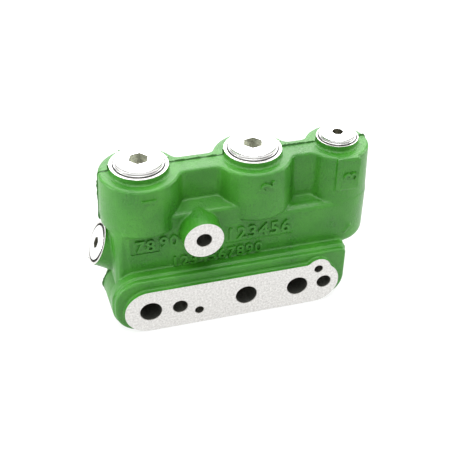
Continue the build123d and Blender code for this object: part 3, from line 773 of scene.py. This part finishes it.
def makeSkin(holes, values, marks):
    # the casting before machining: filled, remeshed to one soft skin, with its flash
    mesh = plainCopy("valve_body")
    pushStock(mesh, values)
    tuckCorners(mesh, values)
    solids = [objectFrom("castBody", mesh)]
    solids += [fillTool(hole, values["stock"], drillings["wider"]) for hole in holes]
    solids += innerPassages(drillings, drillings["wider"])
    frontY = marks["grounds"]["front"]
    for corners, nearY, farY in ((marks["raisedPlate"], frontY - marks["plateRaise"], frontY + marks["plateInto"]),
                                 (marks["tablet"], marks["grounds"]["tablet"], marks["tabletBackY"])):
        (x0, z0), (x1, z1) = corners
        solids.append(boxTool("plate", (x0 * mm, nearY * mm, z0 * mm), (x1 * mm, farY * mm, z1 * mm)))
    solids.append(tickMesh(marks))
    solids += [ledgeSolid(*ledge, values) for ledge in values["ledges"]]
    skin = joined("castBody", solids)
    remade = skin.modifiers.new("skin", "REMESH")
    remade.mode = "VOXEL"
    remade.voxel_size = values["voxel"] * mm
    softer = skin.modifiers.new("soft", "SMOOTH")
    softer.iterations = values["smoothing"]
    bakeModifiers(skin)
    faces = len(skin.data.polygons)
    fewer = skin.modifiers.new("fewer", "DECIMATE")
    fewer.ratio = min(1.0, values["triangles"] / (2 * faces))
    bakeModifiers(skin)
    print("skin faces", faces, "kept", len(skin.data.polygons))
    raiseFlash(skin, values)
    skin.data.materials.clear()
    skin.data.materials.append(castPaint)
    return skin


def makeCasting(values, marks):
    holes = drillingList(drillings)
    piece = makeSkin(holes, values, marks)

    # Machined faces, then the holes
    iron, bore, far, high = metals["machinedIron"], metals["boreIron"], 0.1, values["toolHeight"] * mm
    (x0, z0), (x1, z1) = marks["barePlate"]
    bareY = (marks["grounds"]["front"] + marks["bareDepth"]) * mm
    tools = [boxTool("cut", (x0 * mm, 0, z0 * mm), (x1 * mm, bareY, z1 * mm), castPaint),
             boxTool("cut", (-far, -high, -far), (far, 0, far), iron),
             boxTool("cut", (-far, -far, portZ), (far, far, portZ + high), iron)]
    flats = [(values["reliefFlatR"], reliefRim, reliefOut)]
    flats += [(values["seatR"], (boltX * mm, backY * mm, boltZ * mm), (0, 1, 0))
              for boltX, boltZ, backY in drillings["boltBacks"]]
    for radius, centre, out in flats:
        wide = radius * mm
        tools.append(turned("cut", [(0, 0), (wide, 0), (wide, high), (0, high)], centre, out, iron))
    # near-black groove cut round each port washer: painted shadow at the washer's foot
    for place in ("return_port", "pressure_port", "signal_port"):
        foot = plugSizes["small" if place == "signal_port" else "large"]["headR"] + plugSizes["washerOver"]
        inner, outer = ((foot + over) * mm for over in plugSizes["footOver"])
        low, high = -plugSizes["footDepth"] * mm, 1.0 * mm
        tools.append(turned("groove", [(inner, low), (outer, low), (outer, high), (inner, high)],
                            seats[place][0], upwards, metals["footIron"], segments=96, closed=True))
    tools += [drillTool(hole, bore) for hole in holes]
    tools += innerPassages(drillings, 0.0, bore)
    carve(piece, tools)
    figures = [numberMesh(*number, marks) for number in marks["numbers"]]
    for number in figures:
        number.data.materials.append(castPaint)
    piece = joined("castBody", [piece] + figures)
    roundOff(piece)
    print("carved faces", len(piece.data.polygons), [m.name for m in piece.data.materials])
    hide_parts("valve_body")
    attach(piece, "block")


makeCasting(casting, castMarks)
print("casting done")


# Screw threads: one ridge wound round the shank
def makeThreadTree():
    tree = bpy.data.node_groups.new("threadRidge", "GeometryNodeTree")
    sockets = {}
    for label, kind, value in (("Radius", "NodeSocketFloat", 0.01), ("Pitch", "NodeSocketFloat", 0.0015),
                               ("Turns", "NodeSocketFloat", 6.0), ("Ridge", "NodeSocketFloat", 0.0006),
                               ("Finish", "NodeSocketMaterial", None)):
        socket = tree.interface.new_socket(label, in_out="INPUT", socket_type=kind)
        if value is not None:
            socket.default_value = value
        sockets[label] = socket.identifier
    tree.interface.new_socket("Geometry", in_out="OUTPUT", socket_type="NodeSocketGeometry")
    given, result = addNode(tree, "NodeGroupInput", (-800, 0)), addNode(tree, "NodeGroupOutput", (600, 0))
    height = addNode(tree, "ShaderNodeMath", (-550, -200), operation="MULTIPLY")
    link(tree, given.outputs["Turns"], height.inputs[0])
    link(tree, given.outputs["Pitch"], height.inputs[1])
    spiral = addNode(tree, "GeometryNodeCurveSpiral", (-300, 100), in_Resolution=40)
    link(tree, given.outputs["Turns"], spiral.inputs["Rotations"])
    link(tree, given.outputs["Radius"], spiral.inputs["Start Radius"])
    link(tree, given.outputs["Radius"], spiral.inputs["End Radius"])
    link(tree, height.outputs[0], spiral.inputs["Height"])
    section = addNode(tree, "GeometryNodeCurvePrimitiveCircle", (-300, -200), in_Resolution=4)
    link(tree, given.outputs["Ridge"], section.inputs["Radius"])
    ridge = addNode(tree, "GeometryNodeCurveToMesh", (0, 0))
    ridge.inputs["Fill Caps"].default_value = True
    link(tree, spiral.outputs["Curve"], ridge.inputs["Curve"])
    link(tree, section.outputs["Curve"], ridge.inputs["Profile Curve"])
    real = addNode(tree, "GeometryNodeRealizeInstances", (200, 0))
    finish = addNode(tree, "GeometryNodeSetMaterial", (400, 0))
    link(tree, ridge.outputs["Mesh"], real.inputs["Geometry"])
    link(tree, real.outputs["Geometry"], finish.inputs["Geometry"])
    link(tree, given.outputs["Finish"], finish.inputs["Material"])
    link(tree, finish.outputs["Geometry"], result.inputs["Geometry"])
    return tree, sockets


threadTree, threadSockets = makeThreadTree()


def threadRidge(start, direction, radius, pitch, turns, ridge, material):
    holder = objectFrom("thread", bpy.data.meshes.new("thread"))
    winding = holder.modifiers.new("thread", "NODES")
    winding.node_group = threadTree
    for label, value in (("Radius", radius), ("Pitch", pitch), ("Turns", turns), ("Ridge", ridge),
                         ("Finish", material)):
        winding[threadSockets[label]] = value
    bakeModifiers(holder)
    holder.data.transform(axisFrame(start, direction))
    shape = bmesh.new()
    shape.from_mesh(holder.data)
    bmesh.ops.recalc_face_normals(shape, faces=shape.faces)
    shape.to_mesh(holder.data)
    shape.free()
    return holder




def makePlug(place, size, shared):
    seat, out = seats[place]
    zinc = metals["zincSteel"]
    low, top = washerT / mm, washerT / mm + size["headH"]
    headR, edge, under = size["headR"], shared["headEdge"], shared["underEdge"]
    core, tip, end = size["threadR"] - shared["ridge"], shared["tip"], -size["shank"]
    neck, inset = core - shared["neck"], headR - shared["underIn"]
    profile = [(0, end), (core - tip, end), (core, end + tip), (core, -shared["neckLength"]),
               (neck, 0.2 - shared["neckLength"]), (neck, low), (inset, low), (inset, low + under),
               (headR - 0.1, low + under), (headR, low + under + 0.1),
               (headR, top - edge), (headR - 0.18 * edge, top - 0.45 * edge), (headR - edge, top), (0, top)]
    plug = turned("plug", [(r * mm, a * mm) for r, a in profile], seat, out, zinc, segments=96)
    plug.data.materials.append(metals["zincEdge"])
    plug.data.materials.append(metals["zincSide"])
    # painted shade: the head's side gets a darker copy of the zinc than its top, and the foot of its chamfer a
    # near-black copy
    for face in plug.data.polygons:
        height = (face.center - seat).dot(out) / mm
        reach = (face.center - seat - out * height * mm).length / mm
        if height > low and height < top - 0.01 and reach > headR - 0.8:
            face.material_index = 2 if height < top - edge else 1 if height < top - edge * 0.45 else 0
    angle = math.radians(size["turn"])
    corner, flat, depth = size["socket"] / math.sqrt(3), size["socket"] / 2, size["socketDepth"]
    hexProfile = [(0, 1.0), (corner, 1.0), (corner, -depth), (0, -depth)]
    pilotR = size["socket"] * shared["pilotShare"]
    pilot = [(0, -depth + 0.6), (pilotR, -depth + 0.6), (pilotR, -depth - 0.4), (0, -depth - 0.4 - pilotR * 0.6)]
    flare = [(0, 1.0), (flat + 1.1, 1.0), (flat - 0.6, -0.7), (0, -0.7)]
    mouth = seat + out * top * mm
    tools = [turned("socket", [(r * mm, a * mm) for r, a in shape], mouth, out, metals[size["socketFinish"]],
                    segments=sides, turn=spin)
             for shape, sides, spin in ((flare, 48, 0.0), (hexProfile, 6, angle), (pilot, 48, 0.0))]
    carve(plug, tools)
    runIn, runOut = 1.2, 2.2       # bare lengths at the tip and below the head
    turns = (size["shank"] - runIn - runOut) / size["pitch"]
    thread = threadRidge(seat - out * (size["shank"] - runIn) * mm, out, core * mm, size["pitch"] * mm, turns,
                         (size["threadR"] - core) * mm, zinc)
    plug = joined(place + "Plug", [plug, thread])
    roundOff(plug, 28)
    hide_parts(place + "_plug")
    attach(plug, "block")


def makeWasher(place, size, shared):
    seat, out = seats[place]
    outer = size["headR"] + shared["washerOver"]
    inner = size["threadR"] + 0.08 + shared["washerBead"]
    bond = inner + shared["rubberWidth"]
    t, b = washerT / mm, 0.15
    steel = [(bond, 0), (outer - b, 0), (outer, b), (outer, t - b), (outer - b, t), (bond, t)]
    wide, lip, thin = bond + shared["rubberGap"], inner + 0.3, 0.02
    rubber = [(wide, thin), (wide, t - thin), (lip, t - thin), (inner, t * 0.5), (lip, thin)]
    plate = blackRubber if place == "relief" else metals["zincSide"]      # port washers take the shaded zinc copy, painted shade; the relief washer's plate takes the black rubber, partly the real seal and partly painted shade of the gap round the sunk head
    rings = [turned("washer", [(r * mm, a * mm) for r, a in ring], seat, out, material, segments=96, closed=True)
             for ring, material in ((steel, plate), (rubber, blackRubber))]
    washer = joined(place + "Washer", rings)
    roundOff(washer, 28)
    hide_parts(place + "_washer")
    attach(washer, "block")


for place, kind in (("return_port", "large"), ("pressure_port", "large"), ("signal_port", "small"),
                    ("relief", "small")):
    makePlug(place, plugSizes[kind], plugSizes)
    makeWasher(place, plugSizes[kind], plugSizes)
print("plugs and washers done")

# Inner pieces keep their CAD shape
innerFinishes = {
    "relief_seat": "groundSteel", "relief_poppet": "groundSteel", "spring_shim": "zincSteel",
    "check_cage": "groundSteel", "check_ball": "groundSteel",
    "check_seat": "groundSteel", "signal_orifice": "groundSteel", "expander_sleeve": "zincSteel",
    "expander_ball": "groundSteel",
}
for name, finish in innerFinishes.items():
    frame["nodes"][name].data.materials.clear()
    frame["nodes"][name].data.materials.append(metals[finish])
frame["nodes"]["relief_seat_ring"].data.materials.clear()
frame["nodes"]["relief_seat_ring"].data.materials.append(blackRubber)
print("inner pieces done")

# The relief spring: a copy of its CAD mesh, between the shim and the poppet's pocket
spring = objectFrom("reliefSpring", plainCopy("relief_spring"), metals["oiledSteel"])
roundOff(spring)
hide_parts("relief_spring")
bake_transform(spring)
print("spring done")
